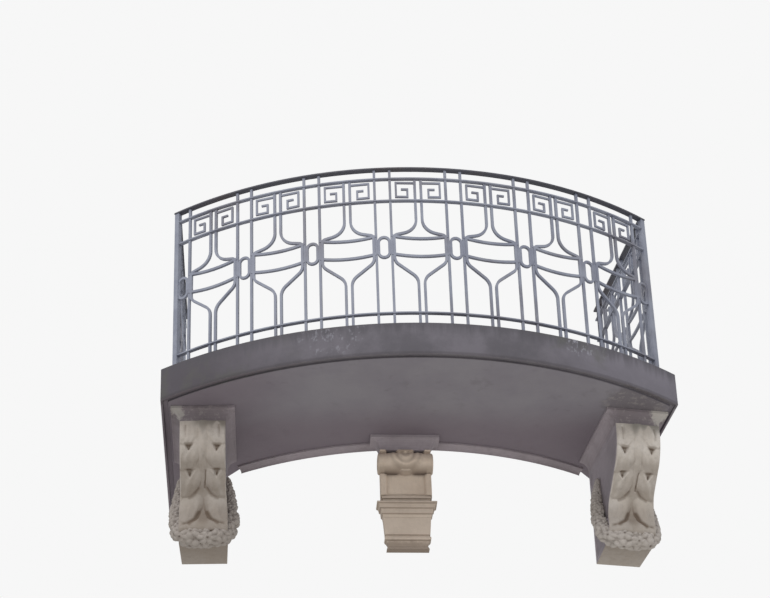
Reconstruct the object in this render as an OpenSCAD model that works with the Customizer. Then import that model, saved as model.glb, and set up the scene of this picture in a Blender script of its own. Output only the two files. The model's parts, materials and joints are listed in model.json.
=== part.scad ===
// Balcony on a rounded house corner: curved concrete slab on two scroll consoles and a corbel,
// with a wrought iron railing of seven bays and two short returns to the wall.
// The origin lies on the flat back of the centre corbel, +Y runs into the wall and +Z up.

/* [Railing plan] */
// Radius of the railing's centre line in plan
rail_r = 1970; // [1800:10:2300]
// Distance from the wall to the railing at the middle
railing_out = 757; // [700:10:850]
// Number of bays along the curved front
bays = 7; // [5:1:8]
// Length of one bay along the curve, from node to node
bay_pitch = 361; // [330:1:380]
// Distance between the two bars of a node
pair_gap = 78; // [70:1:90]
// Distance between the two bars in the middle of a bay
mid_gap = 31; // [28:1:40]
// Angle by which the left return and the slab's left side close in towards the wall
left_taper = 2; // [0:0.5:9]
// The same at the right
right_taper = 8; // [0:0.5:9]
// Number of bays in each return
side_bays = 2; // [1:1:2]

/* [Railing heights above the slab] */
// Top of the handrail
handrail_top = 1006; // [960:1:1060]
// Middle of the upper rail
upper_rail_z = 937; // [925:1:945]
// Height of the key frieze between the middles of its rails
frieze_h = 137; // [125:1:150]
// Middle of the bottom rail
bottom_rail_z = 120; // [80:1:150]
// Middle of the rings
ring_z = 516; // [490:1:540]
// Height of a ring
ring_h = 134; // [110:1:150]

/* [Iron sections] */
// Side of a square bar in the railing
bar = 13; // [11:0.5:15]
// Side of a square bar in the key frieze
key_bar = 10; // [8:0.5:12]
// Width of the flat rails in plan
rail_w = 22; // [20:1:28]
// Thickness of the flat rails
rail_t = 8; // [6:0.5:12]
// Width of the handrail
handrail_w = 32; // [28:1:45]
// Thickness of the handrail in the middle
handrail_t = 13; // [11:1:18]
// Side of a corner post
corner_post_w = 26; // [20:1:34]
// Side of the post next to the wall
wall_post_w = 20; // [16:1:26]
// Distance from the wall to the middle of that post
wall_post_gap = 60; // [40:5:100]

/* [Scroll bars of a bay] */
// Radius of the bell curve under the frieze
bell_r = 85; // [75:1:90]
// Slope of the bell curve where it nears the node
bell_slope = 15; // [10:1:20]
// Radius of the turn beside the node
node_turn_r = 20; // [15:1:25]
// Drop of the bell curve's start below the frieze rail
bell_drop = 116; // [100:1:140]
// Radius of the curve that leaves the node downwards
leave_r = 50; // [40:1:55]
// Radius of the curve that ends in the lower pair
join_r = 70; // [60:1:80]
// Turn of those two curves away from the vertical
lower_turn = 50; // [45:1:55]
// Sag of the long bars between two nodes
long_bar_sag = 15; // [8:1:20]
// Height of the lower long bar above the middle of the rings
lower_long_dz = -41; // [-50:1:-30]

/* [Key frieze] */
// Share of the frieze height above the key's top bar
key_top = 0.18; // [0.16:0.01:0.2]
// Share of the frieze height above the key's inner bar
key_mid = 0.475; // [0.45:0.01:0.5]
// Share of the frieze height above the key's bottom bar
key_bottom = 0.815; // [0.8:0.005:0.83]
// Distance from the key's outer side to the node bar
key_margin = 30; // [26:1:34]
// Distance from the pair bar to the key's inner upright
key_inner = 38; // [34:1:42]
// Length of the key's inner bar
key_tail = 32; // [26:1:34]

/* [Slab] */
// Thickness of the slab
slab_t = 180; // [150:5:220]
// Slab beyond the railing at the front
slab_lip = 100; // [60:5:130]
// Slab beyond the railing at the sides
slab_side_lip = 70; // [50:5:90]
// Distance of the drip groove in the soffit from the slab's edge
drip_in = 12; // [8:1:30]
// Width of the drip groove
drip_w = 24; // [16:1:30]
// Depth of the drip groove
drip_t = 12; // [8:1:20]
// Radius of the wall's rounded face in plan
wall_r = 1660; // [1600:10:1900]
// Distance from the middle to where the wall's flat faces begin
wall_round_x = 872; // [850:2:900]
// Angle between those flat faces and the balcony's front
wall_turn = 52; // [48:1:56]

/* [Caps of the brackets] */
// Height of a cap
cap_h = 75; // [60:1:90]
// How far a cap stands out at its sides
cap_side_out = 46; // [30:1:50]
// How far a cap stands out at its front
cap_front_out = 27; // [20:1:35]
// Height of the plain band along a cap's upper edge
cap_band = 16; // [10:1:24]

/* [Consoles] */
// Height of the consoles
console_h = 600; // [590:5:640]
// Width of a console
console_w = 225; // [200:5:240]
// Depth of a console under its cap
console_d = 505; // [490:5:540]
// Distance from the middle of the balcony to the middle of the left console's back
console_left_x = 1056; // [1030:2:1070]
// The same for the right console
console_right_x = 1018; // [1000:2:1040]
// How far the consoles' backs lie behind the corbel's back
console_back = 163; // [140:1:190]
// Length of the straight front under a console's cap
brow_h = 45; // [30:1:60]
// Radius of the curve below it
brow_r = 210; // [190:5:230]
// Turn of that curve back towards the wall
brow_turn = 50; // [46:1:54]
// Length of the slanting front below it
slant = 125; // [110:1:140]
// Radius of the hollow above the lower scroll
neck_r = 150; // [130:5:170]
// Turn of that hollow
neck_turn = 62; // [56:1:68]
// Width of the leaf on the console's front
leaf_w = 176; // [160:2:190]
// How far the leaf stands out
leaf_t = 14; // [8:1:18]
// Radius of the largest blossoms in the garland
blossom_r = 44; // [34:1:48]
// How far the garland hangs below the console's lower end
garland_drop = 50; // [20:2:60]

/* [Centre corbel] */
// Height of the corbel
corbel_h = 620; // [600:5:640]
// Width of the corbel
corbel_w = 256; // [220:4:280]
// Depth of the corbel under its cap
corbel_d = 75; // [65:1:90]
// Sideways place of the corbel, which is off the middle
corbel_x = -55; // [-80:5:80]
// Depth at the sunk panel
panel_d = 57; // [50:1:62]
// How far the panel is sunk
panel_sunk = 12; // [6:1:16]
// Width of the panel's frame at its sides
panel_frame = 30; // [24:1:40]
// Height of the frame below the panel
panel_sill = 14; // [8:1:20]
// Height of the scroll above the panel
scroll_h = 120; // [110:1:130]
// Height of the panel with its frame
panel_h = 139; // [125:1:145]
// Depth of the block at the foot
block_d = 50; // [45:1:56]
// Height of the stepped moulding above the block
steps_h = 114; // [100:1:130]
// Height of the block
block_h = 95; // [85:1:105]
// Height of the bead under the block, with the groove above it
bead_h = 34; // [28:1:38]

/* [Bed moulding] */
// Projection of the moulding between slab and wall
bed_out = 35; // [25:1:50]
// Height of that moulding
bed_h = 30; // [20:1:45]

/* [Hidden] */
$fn = 96;
// Greatest turn and greatest length of one chord of a bent bar
bend_step = 9;
bend_chord = 40;
// The same for the consoles, whose curves are larger
scroll_step = 5;

// Levels
soffit_z = corbel_h / 2;
floor_z = soffit_z + slab_t;
frieze_rail_z = upper_rail_z - frieze_h;
handrail_base = handrail_top - handrail_t;

// Plan of the railing
deg = 180 / PI;
rail_y = rail_r - railing_out;
front_len = bays * bay_pitch + pair_gap;
half_a = front_len / 2 / rail_r * deg;
post_x = rail_r * sin(half_a);
post_y = rail_y - rail_r * cos(half_a);
bay_clear = bay_pitch - pair_gap;
bay_sag = rail_r * (1 - cos(bay_clear / 2 / rail_r * deg));
slab_r = rail_r + slab_lip;

// Plan of the wall: its flat faces would meet on the axis at wall_apex
wall_apex = wall_r - sqrt(wall_r * wall_r - wall_round_x * wall_round_x) - wall_round_x * tan(wall_turn);

// Taper of a side, length of its return from the corner post to the wall, and pitch of its bays
function taper(side) = side < 0 ? left_taper : right_taper;
function side_len(side) =
    (wall_apex + post_x * tan(wall_turn) - post_y) / (cos(taper(side)) + sin(taper(side)) * tan(wall_turn));
function side_post_len(side) = side_len(side) - wall_post_gap;
function side_pitch(side) = (side_post_len(side) - pair_gap) / side_bays;

// Colours
iron = "#8c919b";
dark_iron = "#4b484b";
concrete = "#66625f";
plaster = "#6c6468";
stucco = "#aa9e8c";

// Places a child at an arc length along the railing, x along the curve and y outwards to the wall
module on_curve(s, inset = 0) {
    a = s / rail_r * deg;
    translate([(rail_r - inset) * sin(a), rail_y - (rail_r - inset) * cos(a), floor_z]) rotate([0, 0, a]) children();
}

// Places a child on a return, x along it from the corner post to the wall
module on_side(side) {
    mirror([side < 0 ? 1 : 0, 0, 0])
        translate([post_x, post_y, floor_z])
            rotate([0, 0, 90 + taper(side)])
                children();
}

// Stands a flat outline upright, x along and y up, centred on its own thickness
module upright(thick) {
    rotate([90, 0, 0]) translate([0, 0, -thick / 2]) linear_extrude(thick) children();
}

module bar_box(height, side = bar) {
    translate([-side / 2, -side / 2, 0]) cube([side, side, height]);
}

// Points and headings along a bent bar: each step is [length, 0] for a straight run or
// [radius, turn] for a curve, which is cut into short chords
function bend(steps, at, dir, step = bend_step, i = 0) =
    i == len(steps) ? [[at, dir]] :
    let (run = steps[i][0], turn = steps[i][1], side = sign(turn), hub = at + side * run * [-sin(dir), cos(dir)],
         cuts = ceil(max(abs(turn) / step, run * abs(turn) / deg / bend_chord)),
         on_arc = function(t) hub + side * run * [sin(dir + t), -cos(dir + t)],
         next = turn == 0 ? at + run * [cos(dir), sin(dir)] : on_arc(turn))
    concat(turn == 0 ? [[at, dir]] : [for (k = [0 : cuts - 1]) [on_arc(turn * k / cuts), dir + turn * k / cuts]],
           bend(steps, next, dir + turn, step, i + 1));

// Outline of a bent bar of width w
module bent_bar(steps, w, at, dir) {
    spine = bend(steps, at, dir);
    left = [for (s = spine) s[0] + w / 2 * [-sin(s[1]), cos(s[1])]];
    right = [for (s = spine) s[0] - w / 2 * [-sin(s[1]), cos(s[1])]];
    polygon(concat(left, [for (k = [len(right) - 1 : -1 : 0]) right[k]]));
}

// Ring between the two bars of a node, with round ends
module ring_outline() {
    outer_w = pair_gap - bar + 1;
    straight = ring_h - outer_w;
    difference() {
        stadium(outer_w / 2, straight);
        stadium(outer_w / 2 - bar, straight);
    }
}

module stadium(r, straight) {
    square([2 * r, straight], center = true);
    for (end = [-1, 1]) translate([0, end * straight / 2]) circle(r);
}

// One half of a bay, from its middle to the node at x = clear / 2
module half_bay(clear) {
    pair_x = mid_gap / 2;
    beside_x = clear / 2 - bar + 0.5;
    bell_z = frieze_rail_z - bell_drop;
    bell_turn = 90 - bell_slope;
    bell_out = (bell_r + node_turn_r) * (1 - cos(bell_turn));
    slope_run = (beside_x - pair_x - bell_out) / sin(bell_turn);
    node_top = bell_z - (bell_r + node_turn_r) * sin(bell_turn) - slope_run * cos(bell_turn);
    leave_z = ring_z - ring_h / 2;
    lower_out = (leave_r + join_r) * (1 - cos(lower_turn));
    diagonal = (beside_x - pair_x - lower_out) / sin(lower_turn);
    lower_drop = (leave_r + join_r) * sin(lower_turn) + diagonal * cos(lower_turn);
    bent_bar([
        [upper_rail_z - rail_t / 2 - bell_z, 0],
        [bell_r, bell_turn],
        [slope_run, 0],
        [node_turn_r, -bell_turn],
        [node_top - leave_z, 0],
        [leave_r, -lower_turn],
        [diagonal, 0],
        [join_r, lower_turn],
        [leave_z - lower_drop, 0]
    ], bar, [pair_x, upper_rail_z - rail_t / 2], -90);
}

// Square spiral of the frieze, hung from the pair bar
module key(clear) {
    outer_x = clear / 2 - key_margin;
    inner_x = mid_gap / 2 + key_inner;
    top_z = upper_rail_z - key_top * frieze_h;
    mid_z = upper_rail_z - key_mid * frieze_h;
    bottom_z = upper_rail_z - key_bottom * frieze_h;
    flat_bar([mid_gap / 2, top_z], [outer_x + key_bar / 2, top_z]);
    flat_bar([outer_x, top_z + key_bar / 2], [outer_x, bottom_z - key_bar / 2]);
    flat_bar([outer_x + key_bar / 2, bottom_z], [inner_x - key_bar / 2, bottom_z]);
    flat_bar([inner_x, bottom_z - key_bar / 2], [inner_x, mid_z + key_bar / 2]);
    flat_bar([inner_x - key_bar / 2, mid_z], [inner_x + key_tail, mid_z]);
}

// Lattice of one bay, with its two keys from thinner bars
module bay_lattice(clear) {
    upright(bar) bay_outline(clear);
    for (side = [0, 1]) mirror([side, 0, 0]) upright(key_bar) key(clear);
}

module flat_bar(from, to) {
    run = to - from;
    translate(from) rotate(atan2(run[1], run[0])) translate([0, -key_bar / 2]) square([norm(run), key_bar]);
}

// Long bar from node to node that sags in the middle
module long_bar(clear, z) {
    chord = clear / 2 + 1;
    r = (chord * chord + long_bar_sag * long_bar_sag) / 2 / long_bar_sag;
    half = asin(chord / r);
    bent_bar([[r, 2 * half]], bar, [-chord, z], -half);
}

module bay_outline(clear) {
    for (side = [0, 1]) mirror([side, 0]) half_bay(clear);
    long_bar(clear, ring_z + ring_h / 2);
    long_bar(clear, ring_z + lower_long_dz);
}

// Middle of a bay along the curve, bays counted from 1 at the left
function bay_s(k) = -front_len / 2 + (k - 1) * bay_pitch + pair_gap + bay_clear / 2;
// Place of a node's first bar along the curve, nodes counted from 1
function node_s(k) = -front_len / 2 + (k - 1) * bay_pitch;

module node_bar(k, second) {
    on_curve(node_s(k) + second * pair_gap) bar_box(handrail_base);
}

module node_bars(k) {
    if (k > 1) node_bar(k, 0);
    if (k < bays + 1) node_bar(k, 1);
}

module uprights(k) {
    color(iron) difference() {
        union() {
            node_bars(k);
            on_curve(node_s(k) + pair_gap / 2) translate([0, 0, ring_z]) upright(bar) ring_outline();
        }
        if (k == 1) corner_post_solid(-1);
        if (k == bays + 1) corner_post_solid(1);
    }
}

module bay(k) {
    color(iron) difference() {
        on_curve(bay_s(k), bay_sag / 2) bay_lattice(bay_clear);
        node_bars(k);
        node_bars(k + 1);
    }
}

// The two straight bars in the middle of a bay, for the holes in the rails
module mid_bars(k, from_z, to_z) {
    for (side = [-1, 1])
        on_curve(bay_s(k), bay_sag / 2)
            translate([side * mid_gap / 2, 0, from_z]) bar_box(to_z - from_z);
}

module corner_post_solid(side) {
    on_curve(side * front_len / 2) bar_box(handrail_base, corner_post_w);
}

module corner_post(side) {
    color(iron) corner_post_solid(side);
}

module rail_section(w, t) {
    translate([-w / 2, -t / 2]) square([w, t]);
}

// Handrail section with a crowned top, its base on the x axis
module handrail_section() {
    crown_r = handrail_w;
    intersection() {
        translate([-handrail_w / 2, 0]) square([handrail_w, handrail_t]);
        translate([0, handrail_t - crown_r]) circle(crown_r);
    }
}

// Sweeps a section along the curved front, from corner to corner and a little beyond
module front_sweep(z, beyond = 0) {
    sweep_a = half_a + beyond / rail_r * deg;
    translate([0, rail_y, floor_z + z])
        rotate([0, 0, -90 - sweep_a])
            rotate_extrude(angle = 2 * sweep_a, $fn = 360)
                translate([rail_r, 0]) children();
}

module side_sweep(side, z) {
    on_side(side) translate([0, 0, z]) rotate([90, 0, 90]) linear_extrude(side_len(side)) children();
}

module front_rail(z, with_mid_bars) {
    color(iron) difference() {
        front_sweep(z) rail_section(rail_w, rail_t);
        for (side = [-1, 1]) corner_post_solid(side);
        for (k = [1 : bays + 1]) node_bars(k);
        if (with_mid_bars) for (k = [1 : bays]) mid_bars(k, z - rail_t, z + rail_t);
    }
}

module side_rail(side, z, with_mid_bars) {
    color(iron) difference() {
        side_sweep(side, z) rail_section(rail_w, rail_t);
        corner_post_solid(side);
        wall_post_solid(side);
        on_side(side) side_bars(side);
        if (with_mid_bars) on_side(side) side_mid_bars(side, z - rail_t, z + rail_t);
    }
}

module handrail_front() {
    color(dark_iron) front_sweep(handrail_base, handrail_w / 2) handrail_section();
}

module handrail_side(side) {
    color(dark_iron) difference() {
        side_sweep(side, handrail_base) handrail_section();
        front_sweep(handrail_base - 1, handrail_w / 2) translate([-handrail_w / 2, 0])
            square([handrail_w, handrail_t + 2]);
        on_side(side) translate([-handrail_w, -handrail_w, 0]) cube([handrail_w, 2 * handrail_w, 2 * handrail_top]);
    }
}

module wall_post_solid(side) {
    on_side(side) translate([side_post_len(side), 0, 0]) bar_box(handrail_base, wall_post_w);
}

module wall_post(side) {
    color(iron) wall_post_solid(side);
}

// Bars of a return: one beside each post and a pair at each node between
module side_bars(side) {
    for (k = [0 : side_bays]) translate([k * side_pitch(side), 0, 0]) {
        if (k > 0) bar_box(handrail_base);
        if (k < side_bays) translate([pair_gap, 0, 0]) bar_box(handrail_base);
    }
}

// Middle of a bay of a return, bays counted from 0
function side_bay_x(side, k) = k * side_pitch(side) + (side_pitch(side) + pair_gap) / 2;

module side_mid_bars(side, from_z, to_z) {
    for (k = [0 : side_bays - 1], edge = [-1, 1])
        translate([side_bay_x(side, k) + edge * mid_gap / 2, 0, from_z]) bar_box(to_z - from_z);
}

module side_panel(side) {
    color(iron) difference() {
        on_side(side) {
            side_bars(side);
            for (k = [0 : side_bays])
                translate([k * side_pitch(side) + pair_gap / 2, 0, ring_z]) upright(bar) ring_outline();
            for (k = [0 : side_bays - 1])
                translate([side_bay_x(side, k), 0, 0]) bay_lattice(side_pitch(side) - pair_gap);
        }
        corner_post_solid(side);
        wall_post_solid(side);
    }
}

// Point of the slab's side at a distance y from the corbel's back
function slab_edge(side, y, inset) =
    [side * (post_x + (slab_side_lip - inset) / cos(taper(side)) - tan(taper(side)) * (y - post_y)), y];

// Plan of the wall behind the slab: round in the middle and flat beside it
module wall_plan() {
    intersection() {
        translate([0, wall_r]) circle(wall_r, $fn = 720);
        polygon([
            for (x = [-1, 0, 1]) [x * wall_r, wall_apex + abs(x) * wall_r * tan(wall_turn)],
            for (x = [1, -1]) [x * wall_r, 2 * wall_r]
        ]);
    }
}

// Plan of the slab without the wall, or of a line that runs inside its edge
module slab_plan(inset = 0) {
    corners = [[-1, rail_y - slab_r - 1], [1, rail_y - slab_r - 1], [1, rail_y], [-1, rail_y]];
    intersection() {
        translate([0, rail_y]) circle(slab_r - inset, $fn = 720);
        polygon([for (c = corners) slab_edge(c[0], c[1], inset)]);
    }
}

module slab() {
    color(concrete) translate([0, 0, soffit_z]) difference() {
        linear_extrude(slab_t) difference() {
            slab_plan();
            wall_plan();
        }
        translate([0, 0, -1]) linear_extrude(drip_t + 1) difference() {
            slab_plan(drip_in);
            slab_plan(drip_in + drip_w);
        }
    }
}

// Section of the bed moulding, x outwards from the wall and y down from the soffit: a band and a cove
module bed_section() {
    polygon(concat([[0, 0], [bed_out, 0]], cove(bed_out, bed_h, bed_h / 3), [[0, -bed_h]]));
}

// Moulding from the corbel's cap to the end of the wall's rounded face
module bed_moulding(side) {
    from_a = asin((side * corbel_x + corbel_w / 2) / wall_r) / 2;
    to_a = asin(wall_round_x / wall_r);
    color(plaster) difference() {
        translate([0, wall_r, soffit_z]) rotate([0, 0, -90 + (side < 0 ? -to_a : from_a)])
            rotate_extrude(angle = to_a - from_a, $fn = 360) translate([wall_r, 0]) bed_section();
        corbel_frame() {
            cap(corbel_w, corbel_d);
            translate([-corbel_w / 2, -corbel_d, -cap_h]) cube([corbel_w, corbel_d + bed_out, cap_h + 1]);
        }
    }
}

function console_x(side) = side < 0 ? console_left_x : console_right_x;

// Places a child at a console: the top middle of its back, x across and y into the wall
module console_frame(side) {
    mirror([side < 0 ? 1 : 0, 0, 0])
        translate([console_x(side), console_back, soffit_z]) rotate([0, 0, taper(side)]) children();
}

// Hollow curve of a moulding from its upper to its lower edge, below a band of a given height
function cove(out, h, band) =
    [for (t = [90 : -15 : 0]) [out * (1 - cos(t)), -h + (h - band) * sin(t)]];

// Solid with one profile round its front and both sides. Each point of the profile is
// [outwards from w / 2, depth, z], from top to bottom.
module mitred(w, profile) {
    last = len(profile) - 1;
    most = max([for (p = profile) p[0]]);
    deep = max([for (p = profile) p[1]]);
    intersection() {
        across(w + 2 * most)
            polygon(concat([[0, profile[0][2]]], [for (p = profile) [p[1], p[2]]], [[0, profile[last][2]]]));
        rotate([90, 0, 0]) linear_extrude(deep)
            polygon(concat([for (p = profile) [w / 2 + p[0], p[2]]],
                           [for (k = [last : -1 : 0]) [-w / 2 - profile[k][0], profile[k][2]]]));
    }
}

// Cap of a bracket, with a plain band over a hollow edge
module cap(w, d) {
    edge = concat([[1, 0]], cove(1, cap_h, cap_band));
    mitred(w, [for (p = edge) [cap_side_out * p[0], d + cap_front_out * p[0], p[1]]]);
}

// Front line of a console, [x out from its back, z] with headings: straight under the cap, convex,
// slanting back, hollow, and round the lower scroll to its end
lower_heading = -90 - brow_turn + neck_turn;
upper_front = bend([[brow_h, 0], [brow_r, -brow_turn], [slant, 0], [neck_r, neck_turn]],
                   [console_d, -cap_h], -90, scroll_step);
neck_end = upper_front[len(upper_front) - 1][0];
lower_scroll_r = (console_h + neck_end[1]) / (1 + cos(lower_heading));
console_front = concat(upper_front, bend([[lower_scroll_r, -180 - lower_heading]], neck_end, lower_heading, scroll_step));
scroll_c = neck_end + lower_scroll_r * [sin(lower_heading), -cos(lower_heading)];

// Side view of a console, grown at the front
module console_outline(grow = 0) {
    front = [for (s = console_front) s[0] + grow * [-sin(s[1]), cos(s[1])]];
    polygon(concat([[0, -cap_h]], front, [[0, -console_h]]));
}

// Leaf that lies along the console's front, with three pairs of lobes and a broad tip
module console_leaf() {
    lobes = 3;
    lobe_r = leaf_w / 4;
    pitch = (-scroll_c[1] - cap_h) / lobes;
    intersection() {
        across(leaf_w) console_outline(leaf_t);
        rotate([90, 0, 0]) linear_extrude(console_d + leaf_t) {
            translate([-leaf_w / 6, -cap_h - lobes * pitch]) square([leaf_w / 3, lobes * pitch]);
            for (k = [0 : lobes - 1], side = [-1, 1])
                translate([side * (leaf_w / 2 - lobe_r), -cap_h - (k + 0.6) * pitch])
                    stadium(lobe_r, pitch - 1.9 * lobe_r);
            translate([0, scroll_c[1] + lobe_r]) circle(1.4 * lobe_r);
        }
    }
}

// Garland of blossoms: it hangs from both sides of the console and passes below the lower scroll
module garland() {
    side_n = 4;
    front_n = 6;
    side_x = (console_w + blossom_r) / 2;
    front_out = scroll_c[0] + lower_scroll_r;
    top_z = scroll_c[1] + 4.2 * lower_scroll_r;
    turn_z = scroll_c[1];
    hang = turn_z + console_h + garland_drop - blossom_r;
    for (side = [-1, 1], k = [0 : side_n - 1])
        let (u = k / side_n, r = blossom_r * (0.45 + 0.55 * u))
        blossom(side * (console_w + r) / 2, front_out * (0.52 + 0.14 * u), top_z + u * (turn_z - top_z), r);
    for (k = [0 : front_n])
        let (u = 2 * k / front_n - 1)
        blossom(u * side_x, front_out * (0.92 - 0.24 * u * u), turn_z - (1 - pow(u, 4)) * hang, blossom_r);
}

module blossom(x, out, z, r) {
    translate([x, -out, z]) sphere(r, $fn = 48);
}

module console(side) {
    color(stucco) console_frame(side) {
        across(console_w) console_outline();
        console_leaf();
        garland();
    }
}

// Lays an outline in the plane out from the wall, centred across
module across(w) {
    rotate([90, 0, -90]) translate([0, 0, -w / 2]) linear_extrude(w) children();
}

module console_cap(side) {
    color(plaster) console_frame(side) cap(console_w, console_d);
}

module corbel_frame() {
    translate([corbel_x, 0, soffit_z]) children();
}

module corbel_cap() {
    color(plaster) corbel_frame() cap(corbel_w, corbel_d);
}

// Levels of the corbel below the soffit
panel_top = cap_h + scroll_h;
panel_end = panel_top + panel_h;
block_top = panel_end + steps_h;
bead_top = block_top + block_h;

// Scroll that leans out over a sunk panel
module corbel_scroll() {
    roll_r = scroll_h / 2;
    roll_out = corbel_d - 0.7 * roll_r;
    panel_z = panel_h - panel_sill;
    color(stucco) corbel_frame() difference() {
        union() {
            across(corbel_w) {
                translate([0, -panel_top]) square([corbel_d - 8, scroll_h]);
                translate([0, -panel_end]) square([panel_d, panel_h + 1]);
                translate([roll_out, -cap_h - roll_r]) circle(roll_r);
            }
            translate([-corbel_w / 2 - 12, -roll_out, -cap_h - roll_r]) rotate([0, 90, 0])
                cylinder(r = 0.8 * roll_r, h = corbel_w + 24);
        }
        translate([-corbel_w / 2 + panel_frame, -panel_d - 1, -panel_top - panel_z])
            cube([corbel_w - 2 * panel_frame, panel_sunk + 1, panel_z]);
    }
}

// Stepped moulding, block, bead and hollow end of the corbel
module corbel_foot() {
    color(stucco) corbel_frame() mitred(corbel_w, [
        [-5, panel_d + 3, -panel_end],
        [-5, panel_d + 3, -panel_end - 0.09 * steps_h],
        [-9, panel_d - 5, -panel_end - 0.1 * steps_h],
        [-9, panel_d - 5, -panel_end - 0.31 * steps_h],
        [22, panel_d + 24, -panel_end - 0.32 * steps_h],
        [22, panel_d + 24, -panel_end - 0.39 * steps_h],
        [15, panel_d + 15, -panel_end - 0.42 * steps_h],
        [11, panel_d + 12, -panel_end - 0.48 * steps_h],
        [11, panel_d + 13, -panel_end - 0.49 * steps_h],
        [9, panel_d + 13, -panel_end - 0.59 * steps_h],
        [2, panel_d + 5, -panel_end - 0.62 * steps_h],
        [2, panel_d + 6, -panel_end - 0.66 * steps_h],
        [0, panel_d + 6, -panel_end - 0.84 * steps_h],
        [-6, panel_d - 2, -panel_end - 0.88 * steps_h],
        [-8, panel_d - 5, -block_top],
        [-9, block_d, -block_top - 3],
        [-16, block_d - 3, -bead_top],
        [-21, block_d - 9, -bead_top - 0.06 * bead_h],
        [-21, block_d - 9, -bead_top - 0.3 * bead_h],
        [-14, block_d + 1, -bead_top - 0.4 * bead_h],
        [-12, block_d + 4, -bead_top - 0.65 * bead_h],
        [-15, block_d + 1, -bead_top - 0.88 * bead_h],
        [-21, block_d - 8, -bead_top - bead_h],
        [-30, block_d - 16, -corbel_h + 25],
        [-32, block_d - 18, -corbel_h + 17],
        [-27, block_d - 12, -corbel_h + 12],
        [-22, block_d - 9, -corbel_h]
    ]);
}

slab();
bed_moulding(-1);  // bed_moulding_left
bed_moulding(1);  // bed_moulding_right
console(-1);  // console_left
console(1);  // console_right
console_cap(-1);  // console_cap_left
console_cap(1);  // console_cap_right
corbel_cap();
corbel_scroll();
corbel_foot();
handrail_front();
handrail_side(-1);  // handrail_left
handrail_side(1);  // handrail_right
front_rail(upper_rail_z, false);  // upper_rail_front
side_rail(-1, upper_rail_z, false);  // upper_rail_left
side_rail(1, upper_rail_z, false);  // upper_rail_right
front_rail(frieze_rail_z, true);  // frieze_rail_front
side_rail(-1, frieze_rail_z, true);  // frieze_rail_left
side_rail(1, frieze_rail_z, true);  // frieze_rail_right
front_rail(bottom_rail_z, true);  // bottom_rail_front
side_rail(-1, bottom_rail_z, true);  // bottom_rail_left
side_rail(1, bottom_rail_z, true);  // bottom_rail_right
corner_post(-1);  // corner_post_left
corner_post(1);  // corner_post_right
wall_post(-1);  // wall_post_left
wall_post(1);  // wall_post_right
uprights(1);  // uprights_1
uprights(2);  // uprights_2
uprights(3);  // uprights_3
uprights(4);  // uprights_4
uprights(5);  // uprights_5
uprights(6);  // uprights_6
uprights(7);  // uprights_7
uprights(8);  // uprights_8
bay(1);  // bay_1
bay(2);  // bay_2
bay(3);  // bay_3
bay(4);  // bay_4
bay(5);  // bay_5
bay(6);  // bay_6
bay(7);  // bay_7
side_panel(-1);  // side_panel_left
side_panel(1);  // side_panel_right
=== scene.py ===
"""The looks of the balcony: camera, light, materials, and the carving on its consoles and corbel."""
import json
import math
import random

import bmesh
import bpy
import numpy as np
from mathutils import Matrix, Vector
from mathutils.geometry import tessellate_polygon


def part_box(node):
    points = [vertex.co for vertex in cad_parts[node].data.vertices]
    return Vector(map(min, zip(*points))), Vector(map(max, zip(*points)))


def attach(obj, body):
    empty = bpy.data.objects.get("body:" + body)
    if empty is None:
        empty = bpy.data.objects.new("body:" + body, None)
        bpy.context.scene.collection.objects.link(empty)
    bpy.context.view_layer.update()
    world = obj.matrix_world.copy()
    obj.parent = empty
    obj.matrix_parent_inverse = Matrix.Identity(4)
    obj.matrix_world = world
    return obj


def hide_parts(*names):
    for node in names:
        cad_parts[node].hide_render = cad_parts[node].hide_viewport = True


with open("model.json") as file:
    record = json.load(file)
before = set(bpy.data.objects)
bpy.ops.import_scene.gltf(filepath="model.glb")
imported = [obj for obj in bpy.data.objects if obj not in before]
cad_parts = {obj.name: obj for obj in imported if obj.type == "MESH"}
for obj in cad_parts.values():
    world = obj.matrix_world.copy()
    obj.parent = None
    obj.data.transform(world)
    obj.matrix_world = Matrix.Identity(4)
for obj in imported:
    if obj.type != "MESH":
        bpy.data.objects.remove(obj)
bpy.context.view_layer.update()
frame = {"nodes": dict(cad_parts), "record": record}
nodes = frame["nodes"]
SLAB_LOW, SLAB_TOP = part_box("slab")

# Camera: it stands low, a little left of the balcony's middle, and looks up at it
CAMERA_AT = Vector((-1.084, SLAB_LOW.y - 10.591, SLAB_LOW.z - 6.842))
CAMERA_YAW = math.radians(-4.80)
CAMERA_PITCH = math.radians(33.95)
CAMERA_ROLL = math.radians(-2.06)
SENSOR_WIDTH = 36.0
FOCAL_PIXELS = 2632.0
PHOTO_WIDTH = 770.0

# Stage: a floor below the camera, a sky, a soft sun, and the light that the ground throws back up
EYE_HEIGHT = 1.6
FLOOR_HALF = 30
SKY_SEEN = (0.93, 0.93, 0.93, 1)
SKY_LIGHT = (0.93, 0.97, 1.0, 1)
SKY_STRENGTH = 0.62
SUN_ENERGY = 1.3
SUN_SPREAD = math.radians(50)
SUN_TURN = (math.radians(48), 0, math.radians(-25))
BOUNCE_AT = Vector((0.8, SLAB_LOW.y - 4.2, SLAB_LOW.z - 4.6))
BOUNCE_SIZE = (8, 4)
BOUNCE_ENERGY = 50
BOUNCE_COLOUR = (1.0, 0.985, 0.97)

# Carried-over nodes: gap that is closed, rounding of the edges by slot, and where an edge is sharp
WELD_GAP = 0.00002
ROUNDING = {
    "railing_iron": 0.0008,
    "handrail_iron": 0.0015,
    "concrete": 0.004,
    "grey_plaster": 0.002,
    "cream_stucco": 0.002,
}
FINE_ROUNDING = 0.002
SHARP_ANGLE = math.radians(40)

# Slab: centre and radius of its curved front in plan, and the dark rim on its underside, of dirt and
# painted shade along the drip edge
SLAB_CENTRE_Y = 1.213
SLAB_R = 2.070
RIM_W = 0.038
RIM_SOFT = 0.004
RIM_SHADE = (72, 66, 69)

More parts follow.
